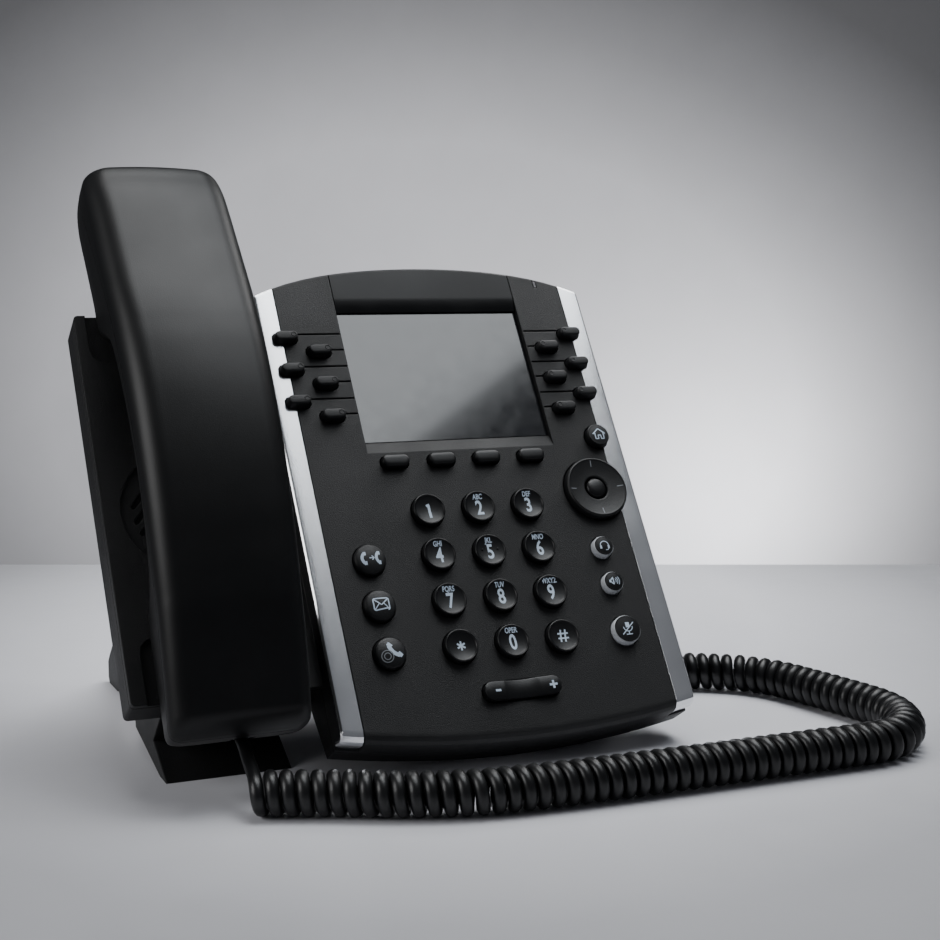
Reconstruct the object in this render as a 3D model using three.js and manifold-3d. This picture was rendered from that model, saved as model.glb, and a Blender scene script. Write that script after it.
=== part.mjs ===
// Desk IP phone: sloping console with a handset cradle on its left, on a desk stand.
// Millimetres, +Z up, +X to the user's right, +Y away from the user.
// Most pieces are drawn in the face frame: x across, y up the face, z out of the face,
// with its origin at the middle of the dial pad.
import * as THREE from 'three';
import { mergeVertices } from 'three/addons/utils/BufferGeometryUtils.js';
import Module from 'manifold-3d';

const wasm = await Module();
wasm.setup();
const { Manifold, Mesh } = wasm;

// ---- driving dimensions ----
const TILT = THREE.MathUtils.degToRad(56.68); // face above the desk
const FACE_ORIGIN = [32.1, -54.06, 60]; // middle of the dial pad, from the foot of the part
const GAP = 0.3; // clearance between neighbouring pieces
const LEFT = -65.6, RIGHT = 64.1; // console sides
const TRIM_LEFT = -58.2, TRIM_RIGHT = 56.3; // inner edges of the silver trims
const WALL = 3.0; // front wall of the console
const SPLIT = -10.5; // joint between front and rear housings
const BACK = -25; // rear plane of the rear housing
const EDGE = 3.8; // bottom edge radius
const CRADLE = { x0: -128.3, y0: -31, y1: 111, z: -8, wall: 2.3 };
const POCKET = -9.2; // floor of the handset rests
const SCREEN = { x0: -36, x1: 36.3, y0: 53.7, y1: 107.5, lip: 48.8, z: -2 };
const HEADER = { y0: 106.9, thick: 1.6 };
const BOARD_TOP = -7.7;
const KEY_FOOT = -5.6, KEY_FLANGE = -3.4;
const HANDSET_X = -99;
const SPEAKER = [-100, 35];
const DESK = -60; // desk plane below the face origin
const COIL_RADIUS = 7.2, LEAD_RADIUS = 2.2;

// dial keys, left column, right column, soft keys, line keys: all [x, y] on the face
const DIAL_X = [-19, 0, 19], DIAL_Y = [25.2, 8.4, -8.4, -25.2];
const DIAL_NAMES = ['1', '2', '3', '4', '5', '6', '7', '8', '9', 'star', '0', 'pound'];
const SIDE_KEYS = { transfer_key: [-44.1, 8.3], messages_key: [-44.1, -8.4], hold_key: [-44.1, -25.2] };
const AUDIO_KEYS = {
  home_key: [54.3, 51.0, 4.5], headset_key: [43.7, 6.6, 3.9],
  speaker_key: [43.7, -7.2, 3.9], mute_key: [43.8, -25.2, 5.2],
};
const SOFT_X = [-26.9, -9.3, 8.0, 25.5], SOFT_Y = 44.7;
const LINE_Y = [95.6, 89.9, 82.6, 76.9, 69.7, 63.8]; // outer and inner keys in turn
const LINE_X = { left: [-57.3, -45.8], right: [54.9, 44.4] };
const GROOVE_Y = [97.3, 90.7, 84.0, 77.7, 70.9, 64.7];
const NAV = [47.7, 29.8], NAV_RADIUS = 11.9;
const ROCKER = { x: -0.5, y: -42, half: 14.2, r: 3.3 };

const faceTop = (x) => 125.6 - 0.00164 * x ** 2 - 2.54e-7 * x ** 4;
const faceBottom = (x) => -54.9 + 0.0014 * (x - 2) ** 2;

// ---- solids ----
const across = (a, b, n) => Array.from({ length: n + 1 }, (_, i) => a + ((b - a) * i) / n);

function solid(geometry) {
  const bare = geometry.clone();
  bare.deleteAttribute('normal');
  bare.deleteAttribute('uv');
  const merged = mergeVertices(bare, 1e-4);
  const points = merged.attributes.position.array;
  let tris = [...merged.index.array];
  const kept = [];
  for (let i = 0; i < tris.length; i += 3) {
    const [a, b, c] = tris.slice(i, i + 3);
    if (a !== b && b !== c && a !== c) kept.push(a, b, c);
  }
  tris = kept;
  let volume = 0;
  const at = (i) => new THREE.Vector3().fromArray(points, i * 3);
  for (let i = 0; i < tris.length; i += 3) {
    volume += at(tris[i]).dot(at(tris[i + 1]).cross(at(tris[i + 2])));
  }
  if (volume < 0) tris.reverse();
  return new Manifold(new Mesh({
    numProp: 3, vertProperties: new Float32Array(points), triVerts: new Uint32Array(tris),
  }));
}

function geometryOf(body) {
  const mesh = body.getMesh();
  const geometry = new THREE.BufferGeometry();
  geometry.setAttribute('position', new THREE.BufferAttribute(new Float32Array(mesh.vertProperties), 3));
  geometry.setIndex(new THREE.BufferAttribute(new Uint32Array(mesh.triVerts), 1));
  geometry.computeVertexNormals();
  return geometry;
}

function box(x0, x1, y0, y1, z0, z1) {
  const geometry = new THREE.BoxGeometry(x1 - x0, y1 - y0, z1 - z0);
  return solid(geometry.translate((x0 + x1) / 2, (y0 + y1) / 2, (z0 + z1) / 2));
}

function prism(points, z0, z1) {
  const shape = new THREE.Shape(points.map(([x, y]) => new THREE.Vector2(x, y)));
  const geometry = new THREE.ExtrudeGeometry(shape, { depth: z1 - z0, bevelEnabled: false });
  return solid(geometry.translate(0, 0, z0));
}

// A closed body through loops of equal length; the ends are capped.
function loft(loops, drop) {
  const n = loops[0].length, tris = [];
  for (let k = 0; k + 1 < loops.length; k++) {
    for (let i = 0; i < n; i++) {
      const a = k * n + i, b = k * n + ((i + 1) % n);
      tris.push(a, b, b + n, a, b + n, a + n);
    }
  }
  for (const [loop, first] of [[loops[0], true], [loops.at(-1), false]]) {
    const flat = loop.map((p) => new THREE.Vector2(p[(drop + 1) % 3], p[(drop + 2) % 3]));
    const turn = THREE.ShapeUtils.isClockWise(flat);
    for (const [a, b, c] of THREE.ShapeUtils.triangulateShape(flat, [])) {
      const same = THREE.ShapeUtils.isClockWise([flat[a], flat[b], flat[c]]) === turn;
      const cap = same !== first ? [a, b, c] : [c, b, a];
      tris.push(...cap.map((i) => i + (first ? 0 : (loops.length - 1) * n)));
    }
  }
  const geometry = new THREE.BufferGeometry();
  geometry.setAttribute('position', new THREE.Float32BufferAttribute(loops.flat(2), 3));
  geometry.setIndex(tris);
  return solid(geometry);
}

// A body across the face: profile(x) gives a closed (y, z) loop.
const acrossFace = (stations, profile) =>
  loft(stations.map((x) => profile(x).map(([y, z]) => [x, y, z])), 0);

function turned(profile, x, y, sides = 16) {
  const geometry = new THREE.LatheGeometry(profile.map(([r, z]) => new THREE.Vector2(r, z)), sides);
  return solid(geometry.rotateX(Math.PI / 2).translate(x, y, 0));
}

function stadium(x, y, half, r, n = 5) {
  const ends = [[half - r, -90], [r - half, 90]];
  return ends.flatMap(([cx, start]) => across(start, start + 180, n).map((deg) => {
    const a = THREE.MathUtils.degToRad(deg);
    return [x + cx + r * Math.cos(a), y + r * Math.sin(a)];
  }));
}

function roundRect(x0, x1, y0, y1, r, n = 3) {
  const corners = [[x1 - r, y0 + r, -90], [x1 - r, y1 - r, 0], [x0 + r, y1 - r, 90], [x0 + r, y0 + r, 180]];
  return corners.flatMap(([cx, cy, start]) => across(start, start + 90, n).map((deg) => {
    const a = THREE.MathUtils.degToRad(deg);
    return [cx + r * Math.cos(a), cy + r * Math.sin(a)];
  }));
}

// Stadium-shaped key: levels are [z, half length, end radius].
const stadiumKey = (x, y, levels) =>
  loft(levels.map(([z, half, r]) => stadium(x, y, half, r).map(([px, py]) => [px, py, z])), 2);

const joined = (bodies) => Manifold.union(bodies);
const disc = (r, z0, z1, x, y, sides) => turned([[0, z0], [r, z0], [r, z1], [0, z1]], x, y, sides);

// ---- the part ----
const group = new THREE.Group();
const origin = new THREE.Group();
origin.position.set(...FACE_ORIGIN);
group.add(origin);
const face = new THREE.Group();
face.rotation.x = TILT;
origin.add(face);

function add(name, body, color, roughness, metalness = 0, parent = face) {
  const material = new THREE.MeshStandardMaterial({ color, roughness, metalness });
  const mesh = new THREE.Mesh(body.isBufferGeometry ? body : geometryOf(body), material);
  mesh.name = name;
  parent.add(mesh);
}

const BLACK = 0x17181a, CHARCOAL = 0x1f2023, SILVER = 0xb9bcc0, KEY_BLACK = 0x121315;
const RUBBER = 0x0d0e0f, TRANSLUCENT = 0x6b7075;

// ---- keys ----
const holes = []; // everything cut through the face and the trims
const hole = (points) => holes.push(prism(points, -WALL - 1, 2));
const roundHole = (r, x, y) => holes.push(disc(r, -WALL - 1, 2, x, y, 24));

DIAL_NAMES.forEach((label, i) => {
  const x = DIAL_X[i % 3], y = DIAL_Y[Math.floor(i / 3)];
  const profile = [[0, KEY_FOOT], [6.8, KEY_FOOT], [6.8, KEY_FLANGE], [5.9, KEY_FLANGE], [5.85, 2.1],
    [5.5, 2.6], [3.4, 1.7], [0, 1.3]];
  add(`key_${label}`, turned(profile, x, y), KEY_BLACK, 0.28);
  roundHole(6.2, x, y);
});

for (const [name, [x, y]] of Object.entries(SIDE_KEYS)) {
  const profile = [[0, KEY_FOOT], [6.5, KEY_FOOT], [6.5, KEY_FLANGE], [5.6, KEY_FLANGE], [5.5, 1.0],
    [4.8, 2.1], [2.8, 2.8], [0, 3.0]];
  add(name, turned(profile, x, y), KEY_BLACK, 0.28);
  roundHole(5.9, x, y);
}

for (const [name, [x, y, r]] of Object.entries(AUDIO_KEYS)) {
  const profile = [[0, KEY_FOOT], [r + 0.9, KEY_FOOT], [r + 0.9, KEY_FLANGE], [r, KEY_FLANGE],
    [r - 0.1, 2.2], [r - 0.6, 2.8], [0, 3.0]];
  add(name, turned(profile, x, y), name === 'home_key' ? KEY_BLACK : TRANSLUCENT, 0.35);
  roundHole(r + 0.4, x, y);
}

SOFT_X.forEach((x, i) => {
  const levels = [[KEY_FOOT, 5.9, 3.1], [KEY_FLANGE, 5.9, 3.1], [KEY_FLANGE, 5.2, 2.4],
    [2.0, 5.0, 2.2], [2.6, 4.5, 1.7]];
  add(`soft_key_${i + 1}`, stadiumKey(x, SOFT_Y, levels), KEY_BLACK, 0.3);
  hole(stadium(x, SOFT_Y, 5.6, 2.8));
});

const grooves = [];
for (const [side, columns] of Object.entries(LINE_X)) {
  LINE_Y.forEach((y, i) => {
    const x = columns[i % 2], inward = side === 'left' ? 1 : -1;
    const levels = [[KEY_FOOT, 5.3, 3.0], [KEY_FLANGE, 5.3, 3.0], [KEY_FLANGE, 4.55, 2.25],
      [0.2, 4.5, 2.2], [2.6, 4.1, 1.75], [3.1, 3.7, 1.35]];
    add(`line_key_${side}_${i + 1}`, stadiumKey(x, y, levels), KEY_BLACK, 0.3);
    hole(stadium(x, y, 4.95, 2.65));
    const from = side === 'left' ? SCREEN.x0 - 0.4 : SCREEN.x1 + 0.4, to = x + inward * 4.4;
    grooves.push(box(Math.min(from, to), Math.max(from, to), GROOVE_Y[i] - 0.35, GROOVE_Y[i] + 0.35,
      -0.45, 1));
  });
}

const ringProfile = [[4.3, -5.2], [12.8, -5.2], [12.8, -4.1], [NAV_RADIUS, -4.1], [NAV_RADIUS - 0.1, 2.2],
  [NAV_RADIUS - 0.7, 2.9], [8, 1.9], [5, 1.7], [4.3, 1.5], [4.3, -5.2]];
add('navigation_ring', turned(ringProfile, ...NAV, 28), KEY_BLACK, 0.3);
const domeProfile = [[4.8, -7.0], [8.4, -7.0], [8.4, -6.0], [4.8, -6.0], [4.8, -7.0]];
add('navigation_dome', turned(domeProfile, ...NAV, 20), 0x8f9396, 0.7);
const selectProfile = [[0, KEY_FOOT], [3.85, KEY_FOOT], [3.85, 1.6], [3.2, 2.3], [0, 2.6]];
add('select_key', turned(selectProfile, ...NAV, 20), KEY_BLACK, 0.3);
roundHole(NAV_RADIUS + 0.55, ...NAV);

const rockerStations = [-14.2, -13.9, -13.1, -12, -10.9, -7, 0, 7, 10.9, 12, 13.1, 13.9, 14.2];
const rockerTop = acrossFace(rockerStations.map((x) => ROCKER.x + x), (x) => {
  const along = Math.abs(x - ROCKER.x), end = Math.max(0, along - (ROCKER.half - ROCKER.r));
  const w = Math.max(0.5, Math.sqrt(Math.max(0, ROCKER.r ** 2 - end ** 2)));
  const top = 1.5 + 0.9 * (along / ROCKER.half) ** 2;
  return [[ROCKER.y - w, -4.2], [ROCKER.y - w, top - 0.4], [ROCKER.y - 0.8 * w, top],
    [ROCKER.y + 0.8 * w, top], [ROCKER.y + w, top - 0.4], [ROCKER.y + w, -4.2]];
});
const rockerFlange = prism(stadium(ROCKER.x, ROCKER.y, ROCKER.half + 0.9, ROCKER.r + 0.9), -5.4, -3.9);
add('volume_rocker', rockerTop.add(rockerFlange), KEY_BLACK, 0.3);
hole(stadium(ROCKER.x, ROCKER.y, ROCKER.half + 0.4, ROCKER.r + 0.4));

// ---- silver trims: strips that run up the face and wrap round its bottom edge ----
function stripLoop(x, outer, inner, end) {
  const top = faceTop(x), bottom = faceBottom(x);
  const wrap = (k) => [0, 30, 60, 90].map((deg) => {
    const a = THREE.MathUtils.degToRad(deg);
    return [bottom - (EDGE - k) * Math.sin(a), -EDGE + (EDGE - k) * Math.cos(a)];
  });
  const crown = outer < 0 ? [[top - outer, -outer]]
    : [[top - outer, -1], [top - 1 + 0.7 * (1 - outer), -1 + 0.7 * (1 - outer)], [top - 1, -outer]];
  return [[top - outer, -inner], ...crown, ...wrap(outer), [bottom - EDGE + outer + 0.6, end],
    [bottom - EDGE + inner + 0.6, end], ...wrap(inner).reverse()];
}
const trims = [['trim_left', LEFT, TRIM_LEFT, 1], ['trim_right', RIGHT, TRIM_RIGHT, -1]];
const trimSeats = [];
for (const [name, outside, inside, sign] of trims) {
  const width = Math.abs(inside - outside);
  const rounding = [[0, 0.85], [0.25, 0.45], [0.6, 0.15], [1.1, 0], [width * 0.5, 0], [width - 0.15, 0]];
  let strip = loft(rounding.map(([d, e]) =>
    stripLoop(outside + sign * d, e, 1.6, -8.6).map(([y, z]) => [outside + sign * d, y, z])), 0);
  for (const cut of holes) strip = strip.subtract(cut);
  add(name, strip, SILVER, 0.32, 0.9);
  const seat = [-sign * 2, sign * width * 0.5, sign * (width + 0.15)].map((d) => outside + d);
  trimSeats.push(acrossFace(seat, (x) => stripLoop(x, -1.5, 1.6 + GAP, -8.6 - GAP)));
}

// ---- front housing: console shell with the cradle plate beside it ----
const stations = across(LEFT, RIGHT, 20);
const consoleLoop = (x) => {
  const top = faceTop(x), bottom = faceBottom(x);
  const edge = [22.5, 45, 67.5, 90].map((deg) => {
    const a = THREE.MathUtils.degToRad(deg);
    return [bottom - EDGE * Math.sin(a), -EDGE + EDGE * Math.cos(a)];
  });
  return [[top, SPLIT], [top, -1], [top - 0.3, -0.3], [top - 1, 0], [bottom, 0], ...edge,
    [bottom - 3.9, SPLIT]];
};
const consoleCavity = (x) => {
  const top = faceTop(x) - 2.6, bottom = faceBottom(x);
  return [[top, SPLIT - 1], [top, -WALL], [bottom - 0.3, -WALL], [bottom - 1.3, -4.6], [bottom - 1.5, SPLIT - 1]];
};
const screenLoop = [[47.8, 0.41], [SCREEN.y0, SCREEN.z], [SCREEN.y0, -4], [SCREEN.y1, -4], [SCREEN.y1, 0.41]];
const grille = [disc(22.5, -8.8, -7, ...SPEAKER, 28)];
for (const d of across(-15.2, 15.2, 8)) {
  const half = Math.sqrt(18.5 ** 2 - d ** 2);
  const slot = prism(stadium(0, 0, half, 0.9, 3), -12, -7);
  grille.push(slot.translate([0, d, 0]).rotate([0, 0, 50]).translate([...SPEAKER, 0]));
}
const front = joined([
  acrossFace(stations, consoleLoop),
  prism(roundRect(CRADLE.x0, LEFT + 4, CRADLE.y0, CRADLE.y1, 1.5), CRADLE.z - CRADLE.wall, CRADLE.z),
]).subtract(joined([
  acrossFace(across(LEFT + 2.4, RIGHT - 2.6, 16), consoleCavity),
  ...holes, ...grooves, ...grille, ...trimSeats,
  acrossFace([SCREEN.x0, SCREEN.x1], () => screenLoop),
  box(SCREEN.x0, SCREEN.x1, HEADER.y0 - GAP, 130, -HEADER.thick - GAP, 2),
  box(46.1, 47.6, 116.6, 119.9, -5.4, 1),
  prism(roundRect(HANDSET_X - 25.3, HANDSET_X + 25.3, 92, 125, 5), POCKET, -6),
  prism(roundRect(HANDSET_X - 24, HANDSET_X + 24, -50, -9, 5), POCKET, -6),
  box(HANDSET_X - 4.4, HANDSET_X + 4.4, 97.2, 102.8, -12, -6),
]));
add('front_housing', front, BLACK, 0.62);

const headerLoop = (x) => {
  const top = faceTop(x);
  return [[top, -HEADER.thick], [top, -1], [top - 0.3, -0.3], [top - 1, 0], [112.6, 0], [111.2, -0.1],
    [109.6, -0.4], [108.2, -0.8], [HEADER.y0, -1.25], [HEADER.y0, -HEADER.thick]];
};
add('header_strip', acrossFace(across(SCREEN.x0 + GAP, SCREEN.x1 - GAP, 12), headerLoop), CHARCOAL, 0.4);
add('message_light', box(46.4, 47.3, 116.9, 119.6, -5, 0.02), 0xb04038, 0.3);

// ---- inside the console and the cradle ----
add('display_window', box(SCREEN.x0 + GAP, SCREEN.x1 - GAP, SCREEN.y0 + GAP, SCREEN.y1 - GAP,
  SCREEN.z - 1.2, SCREEN.z), 0x8d9197, 0.08);
add('display_module', box(-37.8, 38.1, 51.5, 110.2, -7.4, SCREEN.z - 1.5), 0x2a2d31, 0.4);
add('main_board', box(-60, 58, -46, 104, BOARD_TOP - 1.5, BOARD_TOP), 0x1f4a36, 0.5);
const speakerProfile = [[0, -18.6], [13, -18.6], [13, -15.2], [20.5, -13], [20.5, -10.6], [0, -10.6]];
add('loudspeaker', turned(speakerProfile, ...SPEAKER, 24), 0x2b2b2d, 0.6);
const hook = box(HANDSET_X - 4, HANDSET_X + 4, 97.6, 102.4, -20, POCKET);
add('hook_switch', hook.add(box(HANDSET_X - 6, HANDSET_X + 6, 97, 103, -20, -16)), CHARCOAL, 0.4);

// ---- rear housing with its sockets ----
const rearLoop = (x) => {
  const top = faceTop(x), bottom = faceBottom(x);
  return [[top, SPLIT - GAP], [top, BACK + 3], [top - 3, BACK], [bottom + 15, BACK], [bottom - 3.6, -18.7],
    [bottom - 3.9, SPLIT - GAP]];
};
const rearCavity = (x) => {
  const top = faceTop(x), bottom = faceBottom(x);
  return [[top - 2.6, SPLIT + 1], [top - 2.6, BACK + 3.3], [top - 3.6, BACK + 2.3], [bottom + 15.6, BACK + 2.3],
    [bottom - 1.1, -17.3], [bottom - 1.5, SPLIT + 1]];
};
const cradleLevels = [[SPLIT - GAP, 0], [BACK + 3, 0], [BACK, 2.6]];
const cradleBox = loft(cradleLevels.map(([z, d]) =>
  roundRect(CRADLE.x0 + d, LEFT + 4, CRADLE.y0 + d, CRADLE.y1 - d, 1.5).map(([x, y]) => [x, y, z])), 2);
const SOCKETS = [ // x, y, half width, half height, depth
  [57, -20, 3.9, 3.4, 11.5], [57, -4, 3.9, 3.4, 11.5], [-22, 16, 6.0, 4.2, 12], [-4, 16, 6.0, 4.2, 12],
];
const socketBlock = ([x, y, w, v, d]) => box(x - w - 1.2, x + w + 1.2, y - v - 1.2, y + v + 1.2, BACK + 1, BACK + d + 1);
const socketHole = ([x, y, w, v, d]) => box(x - w, x + w, y - v, y + v, BACK - 1, BACK + d);
const rear = joined([acrossFace(stations, rearLoop), cradleBox])
  .subtract(joined([
    acrossFace(across(LEFT + 2.4, RIGHT - 2.4, 16), rearCavity),
    prism(roundRect(CRADLE.x0 + 2.3, LEFT + 6, CRADLE.y0 + 2.3, CRADLE.y1 - 2.3, 2), BACK + 2.3, SPLIT + 1),
  ]))
  .add(joined(SOCKETS.map(socketBlock)))
  .subtract(joined(SOCKETS.map(socketHole)));
add('rear_housing', rear, BLACK, 0.62);

// ---- handset: [y, half width, outer face, parting line, inner face] from mouth end to ear end ----
const HANDSET = [
  [-47.9, 18.6, 5.8, 3.7, 1.4], [-47.2, 20.8, 8.6, 4.3, -2.4], [-46.1, 22.0, 11.2, 4.9, -6.0],
  [-44.8, 22.4, 13.2, 5.7, -7.9], [-43.2, 22.6, 14.5, 6.5, -8.7], [-41, 22.6, 15.3, 7.5, -8.9],
  [-37, 22.7, 16.7, 9.0, -8.9], [-30, 22.8, 19.2, 11.6, -8.9],
  [-21, 22.9, 22.3, 14.4, -8.9], [-12, 23.0, 25.3, 17.0, -8.9], [-8, 23.0, 26.5, 18.0, -7.2],
  [-4, 23.1, 27.6, 19.0, -2.5], [1, 23.2, 28.9, 20.2, 4.5], [8, 23.3, 30.5, 21.8, 10.5],
  [18, 23.4, 32.7, 23.8, 14.6], [32, 23.6, 35.0, 26.0, 17.0], [46, 23.8, 36.4, 27.2, 17.6],
  [60, 24.0, 36.9, 27.3, 17.0], [74, 24.2, 36.3, 26.4, 14.8], [84, 24.3, 35.2, 25.2, 11.6],
  [90, 24.4, 34.3, 24.2, 7.5], [95, 24.5, 33.4, 23.2, 0.5], [99, 24.6, 32.6, 22.2, -5.5],
  [104, 24.6, 31.6, 20.8, -8.9], [111, 24.6, 30.2, 18.6, -8.9], [122, 24.6, 28.0, 15.0, -10.2],
  [134, 24.6, 25.6, 10.8, -11.9], [143, 24.6, 23.4, 7.6, -12.6], [149, 24.3, 21.4, 5.6, -11.9],
  [152, 23.8, 20.4, 5.0, -10.6], [154, 23.0, 19.4, 4.4, -9.0], [155.4, 21.9, 17.9, 4.0, -7.2],
  [156.5, 20.4, 15.2, 3.5, -5.0], [157.2, 18.6, 11.8, 3.0, -2.6],
];
const mirrored = (half) => [...half, ...half.slice().reverse().map(([x, z]) => [-x, z])];
function handsetLoops(rows, section) {
  return rows.map(([y, ...rest]) => section(...rest).map(([x, z]) => [HANDSET_X + x, y, z]));
}
const outerSection = (w, top, part) => {
  const r = Math.min(8.5, top - part - 0.9);
  const arc = [0, 25, 50, 75, 90].map((deg) => {
    const a = THREE.MathUtils.degToRad(deg);
    return [-w + r - r * Math.cos(a), top - 0.7 - r + r * Math.sin(a)];
  });
  return [...mirrored([[-w, part], ...arc]).slice(0, 6), [0, top], ...mirrored([[-w, part], ...arc]).slice(6)];
};
const innerSection = (w, top, part, under) => {
  const p = part - GAP, d = p - under;
  return mirrored([[-w, p], [-w + 0.5, p - 0.45 * d], [-w + 1.6, p - 0.75 * d], [-w + 4.2, p - 0.94 * d],
    [-w + 8, under]]);
};
const hollow = HANDSET.slice(4, -4);
const outerShell = loft(handsetLoops(HANDSET, outerSection), 1)
  .subtract(loft(handsetLoops(hollow, (w, top, part) => outerSection(w - 2, top - 2, part - 3)), 1));
add('handset_outer_shell', outerShell, 0x141416, 0.42);

const ear = [HANDSET_X, 129], mouth = [HANDSET_X, -28];
const soundHoles = [];
for (const [x, y] of [[0, 0], [6, 0], [-6, 0], [3, 5.2], [-3, 5.2], [3, -5.2], [-3, -5.2]]) {
  soundHoles.push(disc(1.2, -16, -5, ear[0] + x, ear[1] + y, 8));
}
soundHoles.push(disc(1.0, -12, -5, ...mouth, 8));
const plug = box(-100.8, -93.6, -46, -36, -5.4, 0.8);
const innerShell = loft(handsetLoops(HANDSET, innerSection), 1)
  .subtract(joined([
    loft(handsetLoops(hollow, (w, top, part, under) =>
      innerSection(w - 2, top, part + 3, under + Math.min(2.2, part - under - 1))), 1),
    box(-101.1, -93.3, -50, -34, -5.7, 1.1),
    ...soundHoles,
  ]));
add('handset_inner_shell', innerShell, 0x141416, 0.45);
add('handset_receiver', disc(16, -5.6, 1.4, ...ear, 20), 0x2b2b2d, 0.6);
add('handset_microphone', disc(4.8, -6.2, -2.2, ...mouth, 12), 0x8f9396, 0.5, 0.6);
add('handset_plug', plug, 0xc8ccd0, 0.2);
add('base_plug', box(53.4, 60.6, -23.1, -16.9, BACK - 4, BACK + 10), 0xc8ccd0, 0.2);

// ---- desk stand, upright in the desk's own directions: (y, z) side profile ----
const onFace = (y, z) => [y * Math.cos(TILT) - z * Math.sin(TILT), y * Math.sin(TILT) + z * Math.cos(TILT)];
const sideProfile = [[1.6, DESK], [10, DESK], [45, -52.2], [80, -49.5], [112, -52.5], [127, DESK],
  [142, DESK], [143.95, -58], [143.95, -51.5], [141, -48.5], onFace(52, -33), onFace(52, BACK - GAP),
  onFace(-28, BACK - GAP), [19, -50.3]];
const sideVoid = [[24, DESK - 2], [24, -49], onFace(-24, BACK - 4.3), onFace(47, BACK - 4.3), [53.5, 22.3],
  [124, -38.5], [124, DESK - 2]];
const plan = (d) => [[-115 + d, -9], [-115 + d, 45], [-104 + d, 100], [-104 + d, 160], [39 - d, 160],
  [39 - d, 100], [50 - d, 45], [50 - d, -9]];
const sideways = (profile, x0, x1) => acrossFace([x0, x1], () => profile);
const stand = sideways(sideProfile, -116, 51).intersect(prism(plan(0), -80, 80))
  .subtract(joined([
    sideways(sideVoid, -116, 51).intersect(prism(plan(3), -80, 80)),
    box(-73, 26, -10, 30, DESK - 1, -42),
    box(-75, 10, 74, 112, DESK, 40),
    box(-45, 20, 18.4, 40.4, DESK, 40),
  ]));
add('desk_stand', stand, BLACK, 0.6, 0, origin);

// ---- handset cord: coil lying on the desk and a straight lead at each end ----
function tube(points, radius, steps, sides) {
  const curve = new THREE.CatmullRomCurve3(points.map((p) => new THREE.Vector3(...p)), false, 'centripetal');
  const shape = new THREE.Shape(across(0, 360, sides).slice(0, -1).map((deg) => {
    const a = THREE.MathUtils.degToRad(deg);
    return new THREE.Vector2(radius * Math.cos(a), radius * Math.sin(a));
  }));
  return solid(new THREE.ExtrudeGeometry(shape, { steps, bevelEnabled: false, extrudePath: curve }));
}
const COIL_Z = DESK + COIL_RADIUS + 0.1;
const COIL = [[-93, -43.2], [-85, -46.6], [-74.7, -51.2], [-64, -56.9], [-53, -61.8], [-41.6, -65.8],
  [-29.5, -68.4], [-3.3, -70.6], [39, -71.7], [80, -72.3], [101, -72.7], [111, -72], [119, -69.2], [127, -62.6],
  [133, -52.8], [136, -42.5], [136.2, -33], [134.4, -19], [132, -5], [129.5, 8], [126, 18], [119.5, 27.5],
  [111, 34.6], [100, 41.2], [86, 48.5]];
add('handset_cord_coil', tube(COIL.map(([x, y]) => [x, y, COIL_Z]), COIL_RADIUS, 64, 10), RUBBER, 0.4, 0, origin);
add('handset_cord_upper_tail', tube([[-97.2, -23.6, -40.4], [-97.6, -27.4, -46], [-99.4, -33.4, -51],
  [-100.4, -39.6, COIL_Z], [-97.6, -42.2, COIL_Z], [-93.7, -43, COIL_Z]], LEAD_RADIUS, 20, 8), RUBBER, 0.4, 0, origin);
const jack = onFace(-20, BACK - 4 - GAP);
add('handset_cord_lower_tail', tube([[57, ...jack], [57, jack[0] + 7, jack[1] - 4.8], [57.5, 34, -45.5],
  [60.5, 45, -51.5], [67, 53, -53], [75, 54, COIL_Z], [85.4, 48.9, COIL_Z]], LEAD_RADIUS, 28, 8), RUBBER, 0.4, 0, origin);

export default group;
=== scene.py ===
"""Desk IP phone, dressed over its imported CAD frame. Metres; the drawing tables are in millimetres."""
import math

import bmesh
import bpy
from mathutils import Matrix, Vector


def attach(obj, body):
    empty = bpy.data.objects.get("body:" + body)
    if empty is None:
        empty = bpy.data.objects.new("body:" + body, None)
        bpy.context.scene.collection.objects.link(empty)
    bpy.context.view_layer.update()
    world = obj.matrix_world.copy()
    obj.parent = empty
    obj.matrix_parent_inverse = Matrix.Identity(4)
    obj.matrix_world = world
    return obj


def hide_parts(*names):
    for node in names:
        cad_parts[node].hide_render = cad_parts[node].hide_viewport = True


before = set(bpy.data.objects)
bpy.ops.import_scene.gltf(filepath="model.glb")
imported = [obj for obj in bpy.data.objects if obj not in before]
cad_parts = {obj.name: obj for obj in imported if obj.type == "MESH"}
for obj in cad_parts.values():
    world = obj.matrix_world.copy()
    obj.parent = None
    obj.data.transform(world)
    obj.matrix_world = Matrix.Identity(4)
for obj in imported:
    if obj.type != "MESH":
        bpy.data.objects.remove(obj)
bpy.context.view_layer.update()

MM = 0.001
TILT = math.radians(56.68)
ORIGIN = Vector((32.1, -54.06, 60.0)) * MM
DESK_Z = -60
# DESK and FACE share one origin on the face; FACE's second axis runs up the tilted face
DESK = Matrix.Translation(ORIGIN) @ Matrix.Scale(MM, 4)
FACE = Matrix.Translation(ORIGIN) @ Matrix.Rotation(TILT, 4, "X") @ Matrix.Scale(MM, 4)

# ---------------------------------------------------------------- camera
EYE, LOOK_DOWN, HEADING = (-202.5, -561.16, 161.6), 6.68, math.radians(-23.98)
camera = bpy.data.objects.new("camera", bpy.data.cameras.new("camera"))
bpy.context.scene.collection.objects.link(camera)
camera.data.sensor_width = 36
camera.data.lens = 63.08
camera.location = Vector(EYE) * MM
camera.rotation_euler = (math.radians(90 - LOOK_DOWN), 0, HEADING)
camera.data.clip_start, camera.data.clip_end = 0.01, 50
bpy.context.scene.camera = camera


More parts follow.
